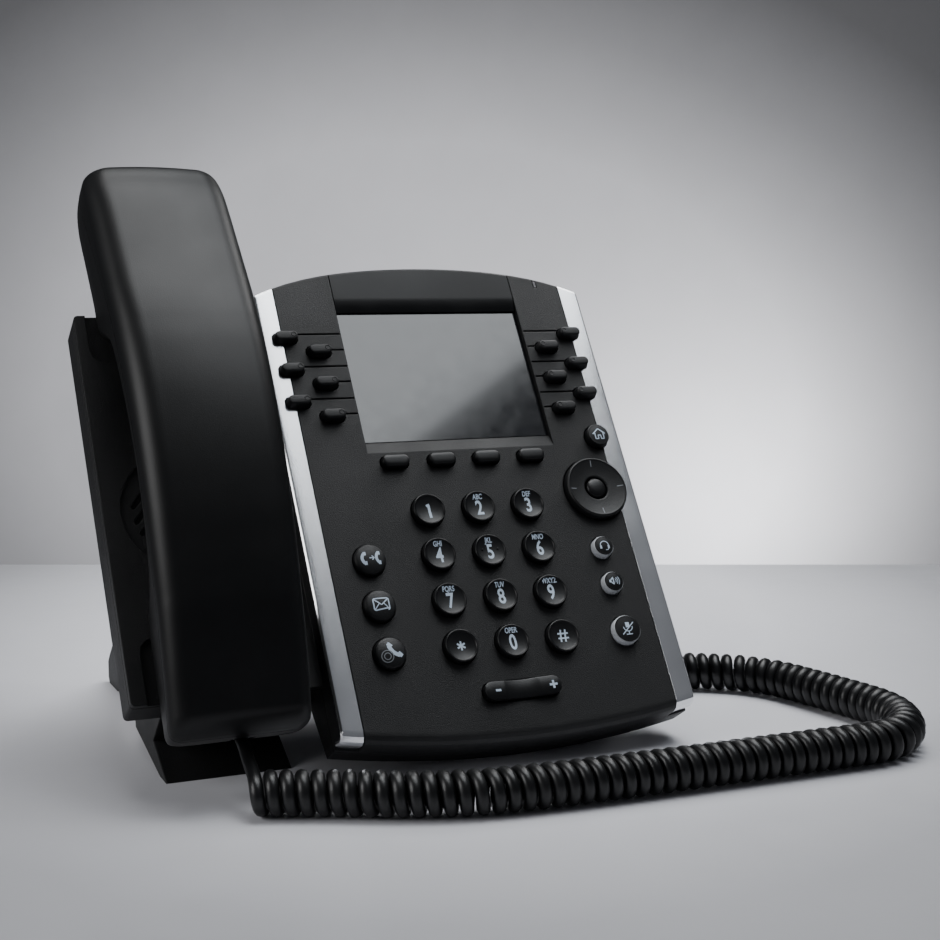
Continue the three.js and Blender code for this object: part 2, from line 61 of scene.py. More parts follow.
# ---------------------------------------------------------------- materials
def make_material(name):
    mat = bpy.data.materials.new(name)
    mat.use_nodes = True
    tree = mat.node_tree
    return mat, tree, tree.nodes["Principled BSDF"]


def wire(tree, source, out, target, into):
    tree.links.new(source.outputs[out], target.inputs[into])


def noise(tree, scale, detail=2.0, rough=0.5):
    coords = tree.nodes.new("ShaderNodeTexCoord")
    node = tree.nodes.new("ShaderNodeTexNoise")
    node.inputs["Scale"].default_value = scale
    node.inputs["Detail"].default_value = detail
    node.inputs["Roughness"].default_value = rough
    wire(tree, coords, "Object", node, "Vector")
    return node


def ramp(tree, source, low, high, start=0.3, end=0.7):
    node = tree.nodes.new("ShaderNodeMapRange")
    node.inputs["From Min"].default_value = start
    node.inputs["From Max"].default_value = end
    node.inputs["To Min"].default_value = low
    node.inputs["To Max"].default_value = high
    wire(tree, source, 0, node, "Value")
    return node


def blend_colour(tree, source, one, two, start=0.3, end=0.7):
    node = tree.nodes.new("ShaderNodeValToRGB")
    node.color_ramp.elements[0].position, node.color_ramp.elements[1].position = start, end
    node.color_ramp.elements[0].color = (*one, 1)
    node.color_ramp.elements[1].color = (*two, 1)
    wire(tree, source, 0, node, "Fac")
    return node


DRIFT_SCALE, LEAST_GRAIN, GRAIN_DEPTH = 55, 0.04, 0.0003


def plastic(name, colour, rough, grain=0.0, grain_scale=2200, edge=0.0, spread=0.06, tint=1.25, **sockets):
    """Moulded plastic: slight colour and roughness drift, fine grain, and rounded mould edges."""
    mat, tree, shader = make_material(name)
    drift = noise(tree, DRIFT_SCALE, 3)
    shade = blend_colour(tree, drift, colour, [c * tint for c in colour])
    wire(tree, shade, "Color", shader, "Base Color")
    speck = noise(tree, grain_scale, 2, 0.6)
    wire(tree, ramp(tree, drift, rough - spread, rough + spread), 0, shader, "Roughness")
    bump = tree.nodes.new("ShaderNodeBump")
    bump.inputs["Strength"].default_value = max(grain, LEAST_GRAIN)
    bump.inputs["Distance"].default_value = GRAIN_DEPTH
    wire(tree, speck, 0, bump, "Height")
    if edge:
        bevel = tree.nodes.new("ShaderNodeBevel")
        bevel.samples = 6
        bevel.inputs["Radius"].default_value = edge * MM
        wire(tree, bevel, "Normal", bump, "Normal")
    wire(tree, bump, "Normal", shader, "Normal")
    for socket, value in sockets.items():
        shader.inputs[socket.replace("_", " ")].default_value = value
    return mat


MAT = {
    "body": plastic("body_plastic", (0.0048, 0.0049, 0.0054), 0.5, 0.6, 3500, edge=0.5,
                    Specular_IOR_Level=0.34),
    "stand": plastic("stand_plastic", (0.005, 0.0051, 0.0055), 0.55, 0.6, 2600, edge=0.8,
                     Specular_IOR_Level=0.35),
    "header": plastic("header_plastic", (0.0035, 0.0037, 0.0042), 0.34, 0.12, 2600, edge=0.2,
                      Specular_IOR_Level=0.22),
    "handset": plastic("handset_plastic", (0.0022, 0.0023, 0.0026), 0.42, 0.12, 2600, spread=0.02,
                       Specular_IOR_Level=0.26),
    "key": plastic("key_plastic", (0.0036, 0.0037, 0.0042), 0.36, 0.1, 3000, Specular_IOR_Level=0.34),
    "matt_key": plastic("matt_key_plastic", (0.0045, 0.0047, 0.0053), 0.46, 0.3, 2600,
                        Specular_IOR_Level=0.34),
    "smoke": plastic("translucent_plastic", (0.55, 0.57, 0.6), 0.36, 0.08, 2600,
                     Transmission_Weight=0.2, IOR=1.49),
    "legend": plastic("legend_ink", (0.5, 0.6, 0.72), 0.5, 0.1, 3000, tint=1.1),
    "legend_dim": plastic("legend_grey", (0.2, 0.215, 0.235), 0.5, 0.1, 3000, tint=1.1),
    "silver": plastic("silver_paint", (0.88, 0.885, 0.905), 0.2, 0.08, 3800, edge=0.15, tint=1.05,
                      spread=0.02, Metallic=0.95),
    "rubber": plastic("cord_rubber", (0.003, 0.0031, 0.0035), 0.36, 0.16, 1500,
                      Specular_IOR_Level=0.4),
    "board": plastic("solder_mask", (0.01, 0.075, 0.04), 0.42, 0.2, 900),
    "panel": plastic("display_frame", (0.05, 0.052, 0.056), 0.45, 0.1, 1500, Metallic=0.5),
    "cone": plastic("speaker_paper", (0.022, 0.022, 0.023), 0.8, 0.7, 700),
    "silicone": plastic("silicone", (0.3, 0.31, 0.32), 0.6, 0.2, 1200),
    "steel": plastic("bare_metal", (0.55, 0.55, 0.56), 0.3, 0.1, 2500, Metallic=0.95),
    "clear": plastic("clear_plastic", (0.8, 0.84, 0.86), 0.12, 0.05, 1500, spread=0.03,
                     Transmission_Weight=0.8, IOR=1.5),
    "light": plastic("indicator_lens", (0.055, 0.05, 0.055), 0.25, 0.06, 1500),
}


# ---------------------------------------------------------------- mesh helpers
def add_loft(bm, loops, caps=True, closed=True):
    rings = [[bm.verts.new(p) for p in loop] for loop in loops]
    n = len(rings[0])
    for one, two in zip(rings, rings[1:]):
        for i in range(n if closed else n - 1):
            j = (i + 1) % n
            bm.faces.new((one[i], one[j], two[j], two[i]))
    if caps:
        bm.faces.new(rings[0][::-1])
        bm.faces.new(rings[-1])


def add_lathe(bm, profile, x=0.0, y=0.0, sides=48):
    """profile: (radius, height) from bottom to top; a radius of 0 closes the end."""
    rings = []
    for r, z in profile:
        if r <= 1e-6:
            rings.append([bm.verts.new((x, y, z))])
        else:
            turn = [2 * math.pi * i / sides for i in range(sides)]
            rings.append([bm.verts.new((x + r * math.cos(a), y + r * math.sin(a), z)) for a in turn])
    for one, two in zip(rings, rings[1:]):
        for i in range(sides):
            j = (i + 1) % sides
            if len(one) == 1 and len(two) > 1:
                bm.faces.new((one[0], two[j], two[i]))
            elif len(two) == 1 and len(one) > 1:
                bm.faces.new((one[i], one[j], two[0]))
            elif len(one) > 1:
                bm.faces.new((one[i], one[j], two[j], two[i]))


def add_box(bm, x0, x1, y0, y1, z0, z1, round_by=0.0):
    made = bmesh.ops.create_cube(bm, size=1.0)
    scale = Matrix.Diagonal((x1 - x0, y1 - y0, z1 - z0, 1))
    shift = Matrix.Translation(((x0 + x1) / 2, (y0 + y1) / 2, (z0 + z1) / 2))
    bmesh.ops.transform(bm, matrix=shift @ scale, verts=made["verts"])
    if round_by:
        edges = list({e for v in made["verts"] for e in v.link_edges})
        bmesh.ops.bevel(bm, geom=edges, offset=round_by, segments=2, affect="EDGES", profile=0.5)


def stadium(x, y, half, r, n=12):
    points = []
    for cx, start in ((half - r, -90), (r - half, 90)):
        for k in range(n + 1):
            a = math.radians(start + 180 * k / n)
            points.append((x + cx + r * math.cos(a), y + r * math.sin(a)))
    return points


def round_rect(x0, x1, y0, y1, r, n=6):
    points = []
    corners = ((x1 - r, y0 + r, -90), (x1 - r, y1 - r, 0), (x0 + r, y1 - r, 90), (x0 + r, y0 + r, 180))
    for cx, cy, start in corners:
        for k in range(n + 1):
            a = math.radians(start + 90 * k / n)
            points.append((cx + r * math.cos(a), cy + r * math.sin(a)))
    return points


def flat_loop(points, z):
    return [(x, y, z) for x, y in points]


def to_object(name, bm, place=FACE, angle=32):
    bmesh.ops.recalc_face_normals(bm, faces=bm.faces)
    bm.transform(place)
    mesh = bpy.data.meshes.new(name)
    bm.to_mesh(mesh)
    bm.free()
    obj = bpy.data.objects.new(name, mesh)
    bpy.context.scene.collection.objects.link(obj)
    mesh.shade_smooth()
    mesh.set_sharp_from_angle(angle=math.radians(angle))
    return obj


def piece(name, bm, material, body, replaces=(), place=FACE, angle=32):
    obj = to_object(name, bm, place, angle)
    return dress(obj, material, body, replaces)


def dress(obj, material, body, replaces=()):
    obj.data.materials.clear()
    obj.data.materials.append(MAT[material])
    if replaces:
        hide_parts(*replaces)
    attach(obj, body)
    return obj


def freeze(obj, angle=32):
    """Applies the modifiers."""
    graph = bpy.context.evaluated_depsgraph_get()
    graph.update()
    mesh = bpy.data.meshes.new_from_object(obj.evaluated_get(graph))
    obj.modifiers.clear()
    obj.data = mesh
    mesh.shade_smooth()
    mesh.set_sharp_from_angle(angle=math.radians(angle))
    return obj


def combine(obj, bm, how="DIFFERENCE", place=FACE, angle=32):
    """Cuts away, adds or keeps the closed bodies in bm."""
    tool = to_object("tool", bm, place)
    modifier = obj.modifiers.new("cut", "BOOLEAN")
    modifier.operation, modifier.solver, modifier.object = how, "EXACT", tool
    modifier.use_self = True
    freeze(obj, angle)
    bpy.data.objects.remove(tool)
    return obj


def catmull(rows, steps):
    """Smooth rows of numbers, steps samples to each gap."""
    out = []
    for k in range(len(rows) - 1):
        p0, p1, p2, p3 = rows[max(k - 1, 0)], rows[k], rows[k + 1], rows[min(k + 2, len(rows) - 1)]
        for s in range(steps):
            t = s / steps
            out.append([0.5 * (2 * b + (c - a) * t + (2 * a - 5 * b + 4 * c - d) * t * t
                               + (3 * b - a - 3 * c + d) * t ** 3) for a, b, c, d in zip(p0, p1, p2, p3)])
    out.append(list(rows[-1]))
    return out


# ---------------------------------------------------------------- handset cord
COIL_RADIUS, LEAD, PITCH, CLEAR = 7.2, 2.2, 4.75, 0.1
COIL_Z = DESK_Z + COIL_RADIUS + CLEAR
# the coil's axis is followed in steps; its bend is read this many steps to each side of a point
AXIS_STEP, BEND_REACH, CLOSING = 0.25, 24, 16
FIRST_PHASE = math.radians(115)
JOIN_PASSES = (2, 3, 4, 5, 5, 4, 3, 2)
COIL = [(-98.5, -41), (-93, -43.2), (-85, -46.6), (-74.7, -51.2), (-64, -56.9), (-53, -61.8),
        (-41.6, -65.8),
        (-29.5, -68.4), (-3.3, -70.6), (39, -71.7), (80, -72.3), (101, -72.7), (111, -72), (119, -69.2),
        (127, -62.6), (133, -52.8), (136, -42.5), (136.2, -33), (134.4, -19), (132, -5), (129.5, 8),
        (126, 18), (119.5, 27.5), (111, 34.6), (100, 41.2), (86, 48.5)]


def on_face(y, z):
    return (y * math.cos(TILT) - z * math.sin(TILT), y * math.sin(TILT) + z * math.cos(TILT))


def even(points, gap):
    """The same line, sampled at even steps of about gap."""
    points = [Vector(p) for p in points]
    total = sum((b - a).length for a, b in zip(points, points[1:]))
    count = max(2, round(total / gap))
    out, k, run = [], 0, 0.0
    for i in range(count + 1):
        want = total * i / count
        while k < len(points) - 2 and run + (points[k + 1] - points[k]).length < want:
            run += (points[k + 1] - points[k]).length
            k += 1
        span = (points[k + 1] - points[k]).length
        out.append(points[k].lerp(points[k + 1], min(1, (want - run) / span)))
    return out


def cord_line():
    """The whole cord's centreline, from the handset to the console."""
    fine = even([(x, y, COIL_Z) for x, y in catmull(COIL, 12)], AXIS_STEP)
    radius, up, phase, coil = COIL_RADIUS - LEAD, Vector((0, 0, 1)), FIRST_PHASE, []
    for i, p in enumerate(fine):
        back, front = fine[max(i - BEND_REACH, 0)], fine[min(i + BEND_REACH, len(fine) - 1)]
        ahead = (fine[min(i + 2, len(fine) - 1)] - fine[max(i - 2, 0)]).normalized()
        turn = (p - back).angle(front - p) if 0 < i < len(fine) - 1 else 0.0
        bend = turn / max(3.0, (front - back).length / 2)
        pitch = max(PITCH, (2 * LEAD + CLEAR) / (1 - radius * bend))
        ease = min(1.0, (len(fine) - 1 - i) / CLOSING)
        r = radius * (0.6 + 0.4 * ease)
        across = ahead.cross(up).normalized()
        coil.append(p + across * (r * math.cos(phase)) + up * (r * math.sin(phase)))
        phase -= 2 * math.pi * (fine[1] - fine[0]).length / pitch
    jack = on_face(-20, -29.3)
    first = [Vector(p) for p in ((-97.2, -23.6, -40.4), (-97.1, -27, -42.4), (-97.2, -31.6, -45.6))]
    last = [Vector(p) for p in ((75, 54, COIL_Z - 3), (67, 53, -53.6), (60.5, 45, -51.5), (57.5, 34, -45.5),
                                (57, jack[0] + 7, jack[1] - 4.8), (57, jack[0], jack[1]))]
    lead_in = even(catmull([list(v) for v in first] + [list(coil[0]), list(coil[4])], 8)[:-8], 1.2)
    lead_out = even(catmull([list(coil[-5]), list(coil[-1])] + [list(v) for v in last], 8)[8:], 1.5)
    whole = lead_in[:-1] + coil + lead_out[1:]
    for join in (len(lead_in) - 1, len(lead_in) + len(coil) - 2):
        for reach in JOIN_PASSES:
            eased = {i: (whole[i - 1] + whole[i] * 2 + whole[i + 1]) / 4
                     for i in range(join - reach, join + reach + 1)}
            for i, p in eased.items():
                whole[i] = p
    return whole


def tube_mesh(line, radius, sides=10):
    bm = bmesh.new()
    side, loops = Vector((1, 0, 0)), []
    spokes = [2 * math.pi * k / sides for k in range(sides)]
    for i, p in enumerate(line):
        ahead = (line[min(i + 1, len(line) - 1)] - line[max(i - 1, 0)]).normalized()
        side = (side - ahead * side.dot(ahead)).normalized()
        other = ahead.cross(side)
        loops.append([p + (side * math.cos(a) + other * math.sin(a)) * radius for a in spokes])
    add_loft(bm, loops)
    return bm


line = cord_line()
cord = to_object("handset_cord", tube_mesh(line, LEAD), DESK, angle=60)
dress(cord, "rubber", "base",
      ["handset_cord_coil", "handset_cord_upper_tail", "handset_cord_lower_tail"])

# ---------------------------------------------------------------- handset
HANDSET_X, SHELL_WALL = -99, 1.8
# rows of (y, half width, top, parting line, underside)
HANDSET = [
    (-47.9, 18.6, 5.8, 3.7, 1.4), (-47.2, 20.8, 8.6, 4.3, -2.4), (-46.1, 22.0, 11.2, 4.9, -6.0),
    (-44.8, 22.4, 13.2, 5.7, -7.9), (-43.2, 22.6, 14.5, 6.5, -8.7), (-41, 22.6, 15.3, 7.5, -8.9),
    (-37, 22.7, 16.7, 9.0, -8.9), (-30, 22.8, 19.2, 11.6, -8.9),
    (-21, 22.9, 22.3, 14.4, -8.9), (-12, 23.0, 25.3, 17.0, -8.9), (-8, 23.0, 26.5, 18.0, -7.2),
    (-4, 23.1, 27.6, 19.0, -2.5), (1, 23.2, 28.9, 20.2, 4.5), (8, 23.3, 30.5, 21.8, 10.5),
    (18, 23.4, 32.7, 23.8, 14.6), (32, 23.6, 35.0, 26.0, 17.0), (46, 23.8, 36.4, 27.2, 17.6),
    (60, 24.0, 36.9, 27.3, 17.0), (74, 24.2, 36.3, 26.4, 14.8), (84, 24.3, 35.2, 25.2, 11.6),
    (90, 24.4, 34.3, 24.2, 7.5), (95, 24.5, 33.4, 23.2, 0.5), (99, 24.6, 32.6, 22.2, -5.5),
    (104, 24.6, 31.6, 20.8, -8.9), (111, 24.6, 30.2, 18.6, -8.9), (122, 24.6, 28.0, 15.0, -10.2),
    (134, 24.6, 25.6, 10.8, -11.9), (143, 24.6, 23.4, 7.6, -12.6), (149, 24.3, 21.4, 5.6, -11.9),
    (152, 23.8, 20.4, 5.0, -10.6), (154, 23.0, 19.4, 4.4, -9.0), (155.4, 21.9, 17.9, 4.0, -7.2),
    (156.5, 20.4, 15.2, 3.5, -5.0), (157.2, 18.6, 11.8, 3.0, -2.6)]


def outer_section(w, top, part, under):
    r = min(8.5, top - part - 0.9)
    half = [(-w, part)]
    for k in range(11):
        a = math.radians(9 * k)
        half.append((-w + r - r * math.cos(a), top - 0.7 - r + r * math.sin(a)))
    for k in range(1, 8):
        x = (-w + r) * (1 - k / 8)
        half.append((x, top - 0.7 * (x / (w - r)) ** 2))
    return half + [(0, top)] + [(-x, z) for x, z in reversed(half)]


def inner_section(w, top, part, under):
    p, d = part - 0.3, part - 0.3 - under
    corner = [(-w, p), (-w + 0.5, p - 0.45 * d), (-w + 1.6, p - 0.75 * d), (-w + 4.2, p - 0.94 * d),
              (-w + 8, under), (-w + 12, under)]
    half = [tuple(v) for v in catmull(corner, 4)]
    return half + [(0, under)] + [(-x, z) for x, z in reversed(half)]


def handset_shell(section):
    bm = bmesh.new()
    loops = [[(HANDSET_X + x, y, z) for x, z in section(*rest)] for y, *rest in catmull(HANDSET, 5)]
    add_loft(bm, loops, caps=True, closed=False)
    return bm


def shell(name, bm, thickness):
    obj = to_object(name, bm, angle=50)
    solid = obj.modifiers.new("wall", "SOLIDIFY")
    solid.thickness, solid.offset, solid.use_even_offset = thickness * MM, -1, False
    return freeze(obj, 50)


outer = shell("handset_outer", handset_shell(outer_section), SHELL_WALL)
dress(outer, "handset", "handset", ["handset_outer_shell"])
inner = shell("handset_inner", handset_shell(inner_section), SHELL_WALL)


def drill(bm, x, y, low, r=0.9, high=-5):
    """A round sound hole through the inner shell."""
    add_lathe(bm, [(0, low), (r, low), (r, high), (0, high)], HANDSET_X + x, y, 16)


cuts = bmesh.new()
EAR = [(0, 0)] + [(5.5 * math.cos(a), 5.5 * math.sin(a)) for a in (math.pi * k / 3 for k in range(6))]
EAR += [(10.5 * math.cos(a), 10.5 * math.sin(a)) for a in (math.pi * k / 6 for k in range(12))]
EAR_Y, MOUTH_Y = 129, -28
for x, y in EAR:
    drill(cuts, x, EAR_Y + y, -18)
drill(cuts, 0, MOUTH_Y, -14)
add_box(cuts, -101.1, -93.3, -52, -34, -5.7, 1.1)
combine(inner, cuts, angle=50)
dress(inner, "handset", "handset", ["handset_inner_shell"])

# ---------------------------------------------------------------- keys
DIAL_X, DIAL_Y = (-19, 0, 19), (25.2, 8.4, -8.4, -25.2)
DIAL = ["1", "2", "3", "4", "5", "6", "7", "8", "9", "star", "0", "pound"]
LETTERS = {"2": "ABC", "3": "DEF", "4": "GHI", "5": "JKL", "6": "MNO", "7": "PQRS", "8": "TUV",
           "9": "WXYZ", "0": "OPER"}
FOOT, FLANGE = -5.6, -3.4


def dish(r):
    """Height of a dial key's hollow top at r from its middle."""
    return 1.55 + 0.7 * min(1, r / 5.1) ** 2


def dome(r):
    return 3.0 - 0.75 * min(1, r / 4.9) ** 2


def dial_profile():
    hollow = [(5.1 * k / 12, dish(5.1 * k / 12)) for k in range(12, -1, -1)]
    return [(0, FOOT), (6.8, FOOT), (6.8, FLANGE), (5.9, FLANGE), (5.87, 1.9), (5.8, 2.3), (5.64, 2.52),
            (5.45, 2.6), (5.28, 2.5), (5.18, 2.36)] + hollow


def side_profile():
    top = [(4.9 * k / 10, dome(4.9 * k / 10)) for k in range(10, -1, -1)]
    return [(0, FOOT), (6.5, FOOT), (6.5, FLANGE), (5.6, FLANGE), (5.58, 0.9), (5.45, 1.5), (5.2, 1.98)] + top


TEXT_LIFT, STROKE_LIFT = 0.03, 0.045


def lay_text(bm, text, size, x, y, shape, squeeze=0.72, weight=0.0):
    """Flat lettering laid on a curved top: shape gives the height at a distance from the middle."""
    curve = bpy.data.curves.new("text", "FONT")
    curve.body, curve.size, curve.align_x, curve.align_y = text, size, "CENTER", "CENTER"
    curve.offset = weight
    curve.resolution_u = 4
    obj = bpy.data.objects.new("text", curve)
    bpy.context.scene.collection.objects.link(obj)
    bpy.context.view_layer.update()
    mesh = bpy.data.meshes.new_from_object(obj.evaluated_get(bpy.context.evaluated_depsgraph_get()))
    flat = [(x + v.co.x * squeeze, y + v.co.y) for v in mesh.vertices]
    verts = [bm.verts.new((px, py, shape(math.hypot(px, py)) + TEXT_LIFT)) for px, py in flat]
    for face in mesh.polygons:
        bm.faces.new([verts[i] for i in face.vertices])
    bpy.data.objects.remove(obj)


def lay_stroke(bm, points, width, shape, closed=False):
    """A drawn line of the given width, following the surface."""
    pts = [Vector((p[0], p[1])) for p in points]
    fine = []
    pairs = list(zip(pts, pts[1:] + ([pts[0]] if closed else [])))
    if not closed:
        pairs = pairs[:len(pts) - 1]
    for a, b in pairs:
        n = max(1, round((b - a).length / 0.5))
        fine += [a.lerp(b, k / n) for k in range(n)]
    fine.append(pts[0] if closed else pts[-1])
    rows = []
    for i, p in enumerate(fine):
        one = fine[i - 1] if i else (fine[-2] if closed else fine[0])
        two = fine[i + 1] if i + 1 < len(fine) else (fine[1] if closed else fine[-1])
        ahead = (two - one).normalized()
        side = Vector((-ahead.y, ahead.x)) * width / 2
        rows.append([bm.verts.new((q.x, q.y, shape(q.length) + STROKE_LIFT)) for q in (p + side, p - side)])
    for one, two in zip(rows, rows[1:]):
        bm.faces.new((one[0], one[1], two[1], two[0]))


def arc(cx, cy, r, start, stop, n=12):
    return [(cx + r * math.cos(math.radians(start + (stop - start) * k / n)),
             cy + r * math.sin(math.radians(start + (stop - start) * k / n))) for k in range(n + 1)]


def receiver_icon(cx, cy, size, turn, bow=0.42):
    """A small handset: a bowed grip with a block at each end, on its hollow side."""
    c, s = math.cos(math.radians(turn)), math.sin(math.radians(turn))

    def spin(x, y):
        return (cx + size * (x * c - y * s), cy + size * (x * s + y * c))
    grip = [spin(x, bow * (1 - x * x)) for x in (-1, -0.75, -0.5, -0.25, 0, 0.25, 0.5, 0.75, 1)]
    return [(grip, 0.58 * size), ([spin(-0.98, 0.12), spin(-0.98, -0.45)], 0.74 * size),
            ([spin(0.98, 0.12), spin(0.98, -0.45)], 0.74 * size)]


ICONS = {
    "transfer_key": receiver_icon(-2.5, 0, 1.75, 90) + receiver_icon(2.5, 0, 1.75, 90)
    + [([(-0.7, 0), (0.9, 0)], 0.42), ([(0.2, 0.75), (1.0, 0), (0.2, -0.75)], 0.36)],
    "messages_key": [(round_rect(-2.7, 2.7, -2.05, 2.05, 0.6, 4) + [(2.7, -1.45)], 0.45),
                     ([(-2.4, 1.7), (0, -0.3), (2.4, 1.7)], 0.4), ([(-2.4, -1.7), (-0.8, 0.2)], 0.34),
                     ([(2.4, -1.7), (0.8, 0.2)], 0.34)],
    "hold_key": receiver_icon(0.9, 0.3, 2.4, 133, 0.3),
    "home_key": [([(-2.5, 0.1), (0, 2.2), (2.5, 0.1)], 0.42),
                 ([(-1.7, 0.6), (-1.7, -1.9), (-0.55, -1.9), (-0.55, -0.5), (0.55, -0.5), (0.55, -1.9),
                   (1.7, -1.9), (1.7, 0.6)], 0.38)],
    "headset_key": [(arc(0, -0.1, 1.7, -20, 200, 16), 0.34), ([(-1.6, -0.1), (-1.6, -1.3)], 0.8),
                    ([(1.6, -0.1), (1.6, -1.3)], 0.8), ([(1.6, -1.3), (1.0, -1.9), (0.1, -1.9)], 0.28)],
    "speaker_key": [([(-1.9, 0.6), (-1.9, -0.6)], 0.9),
                    ([(-1.5, 0.6), (-0.5, 1.5), (-0.5, -1.5), (-1.5, -0.6)], 0.5),
                    (arc(-0.5, 0, 1.2, -45, 45, 8), 0.28), (arc(-0.5, 0, 2.0, -45, 45, 8), 0.28),
                    (arc(-0.5, 0, 2.8, -38, 38, 8), 0.28)],
    "mute_key": [([(0, 2.2), (0, 0.3)], 1.5), (arc(0, 0.6, 1.7, 180, 360, 12), 0.3),
                 ([(0, -1.1), (0, -2.2)], 0.32), ([(-1.2, -2.2), (1.2, -2.2)], 0.32),
                 ([(-2.5, -2.1), (2.5, 2.1)], 0.36)],
}


def place_at(x, y):
    return FACE @ Matrix.Translation((x, y, 0))


def lathe_key(name, x, y, profile, material="key"):
    bm = bmesh.new()
    add_lathe(bm, profile, sides=64)
    return piece(name + "_cap", bm, material, name, [name], place_at(x, y), 40)


for i, label in enumerate(DIAL):
    x, y, name = DIAL_X[i % 3], DIAL_Y[i // 3], "key_" + label
    lathe_key(name, x, y, dial_profile())
    bm = bmesh.new()
    if label in LETTERS:
        lay_text(bm, LETTERS[label], 2.6, 0, 3.6, dish, 0.72, 0.06)
        lay_text(bm, label, 7.6, 0, -0.75, dish, 0.72, 0.15)
    elif label == "star":
        for turn in (90, 30, 150):
            a = math.radians(turn)
            lay_stroke(bm, [(-1.6 * math.cos(a), -1.6 * math.sin(a)), (1.6 * math.cos(a), 1.6 * math.sin(a))],
                       0.62, dish)
    elif label == "pound":
        for d in (-0.85, 0.85):
            lay_stroke(bm, [(d - 0.3, -2.2), (d + 0.3, 2.2)], 0.58, dish)
            lay_stroke(bm, [(-2.0, d), (2.0, d)], 0.55, dish)
    else:
        lay_stroke(bm, [(-0.7, 1.25), (0.15, 1.8), (0.15, -3.2)], 0.95, dish)
    piece(name + "_legend", bm, "legend", name, place=place_at(x, y))
nubs = bmesh.new()
for x in (-2.9, 2.9):
    add_lathe(nubs, [(0.42, 1.5), (0.36, 2.0), (0.2, 2.2), (0, 2.24)], x, 0.3, 16)
piece("key_5_nubs", nubs, "key", "key_5", place=place_at(0, 8.4), angle=60)

SIDE = {"transfer_key": (-44.1, 8.3), "messages_key": (-44.1, -8.4), "hold_key": (-44.1, -25.2)}
for name, (x, y) in SIDE.items():
    lathe_key(name, x, y, side_profile(), "matt_key")
AUDIO = {"home_key": (54.3, 51.0, 4.5), "headset_key": (43.7, 6.6, 3.9), "speaker_key": (43.7, -7.2, 3.9),
         "mute_key": (43.8, -25.2, 5.2)}
SHAPES = {name: dome for name in SIDE}
for name, (x, y, r) in AUDIO.items():
    cap = lambda d, r=r: 3.0 - 0.25 * min(1, d / (r - 0.7)) ** 2
    SHAPES[name] = cap
    bm = bmesh.new()
    add_lathe(bm, [(0, FOOT), (r + 0.9, FOOT), (r + 0.9, FLANGE), (r, FLANGE), (r - 0.02, 0), (r - 0.1, 2.0),
                   (r - 0.2, 2.26), (r - 0.45, 2.36), (0, 2.36)], sides=48)
    ring = ("key", "key_plastic") if name == "home_key" else ("smoke", "translucent_plastic")
    piece(name + "_ring", bm, ring[0], name, [name], place_at(x, y), 40)
    bm = bmesh.new()
    top = [(r - 0.75) * k / 8 for k in range(9)]
    add_lathe(bm, [(0, 2.37), (r - 0.42, 2.37), (r - 0.42, 2.6), (r - 0.55, cap(r - 0.75))]
              + [(q, cap(q)) for q in reversed(top)], sides=48)
    piece(name + "_cap", bm, "key", name, place=place_at(x, y), angle=40)
for name, strokes in ICONS.items():
    x, y = SIDE.get(name) or AUDIO[name][:2]
    scale = {"headset_key": 0.95, "speaker_key": 0.85}.get(name, 1.0)
    bm = bmesh.new()
    for points, width in strokes:
        lay_stroke(bm, [(px * scale, py * scale) for px, py in points], width * scale, SHAPES[name])
    piece(name + "_icon", bm, "legend", name, place=place_at(x, y))
bm = bmesh.new()
for r in (2.0, 1.1):
    lay_stroke(bm, arc(-1.7, -1.5, r, 0, 360, 24), 0.3, dome)
piece("hold_key_rings", bm, "legend_dim", "hold_key", place=place_at(*SIDE["hold_key"]))


def bar_key(name, x, y, levels, material="key", angle=40):
    bm = bmesh.new()
    add_loft(bm, [flat_loop(stadium(0, 0, half, r), z) for z, half, r in levels])
    return piece(name + "_cap", bm, material, name, [name], place_at(x, y), angle)


SOFT_X, SOFT_Y = (-26.9, -9.3, 8.0, 25.5), 44.7
for i, x in enumerate(SOFT_X):
    bar_key(f"soft_key_{i + 1}", x, SOFT_Y, [
        (FOOT, 5.9, 3.1), (FLANGE, 5.9, 3.1), (FLANGE, 5.2, 2.4), (1.6, 5.05, 2.25), (2.1, 4.95, 2.15),
        (2.4, 4.7, 1.9), (2.52, 4.3, 1.5), (2.58, 3.6, 0.8)])

LINE_Y = (95.6, 89.9, 82.6, 76.9, 69.7, 63.8)
LINE_X = {"left": (-57.3, -45.8), "right": (54.9, 44.4)}
for side, columns in LINE_X.items():
    for i, y in enumerate(LINE_Y):
        name, x = f"line_key_{side}_{i + 1}", columns[i % 2]
        bar_key(name, x, y, [
            (FOOT, 5.3, 3.0), (FLANGE, 5.3, 3.0), (FLANGE, 4.55, 2.25), (0.2, 4.5, 2.2), (2.3, 4.15, 1.8),
            (2.75, 4.05, 1.7), (2.98, 3.85, 1.5), (3.06, 3.4, 1.05)], material="matt_key")
        sign = 1 if side == "left" else -1
        bm = bmesh.new()
        add_lathe(bm, [(0.5, 2.98), (1.0, 2.98), (0.98, 3.16), (0.86, 3.22), (0.72, 3.2), (0.62, 3.1),
                       (0.5, 2.98)], sign * 2.6, 0.25, 24)
        piece(name + "_pointer", bm, "key", name, place=place_at(x, y), angle=60)

# navigation ring, its select key and the four marks
NAV, RING = (47.7, 29.8), 11.9
bm = bmesh.new()


def hollow(r):
    """Height of the ring's hollow top at r from its middle."""
    return 1.72 + 1.0 * max(0, (r - 4.75) / (RING - 5.8)) ** 1.6


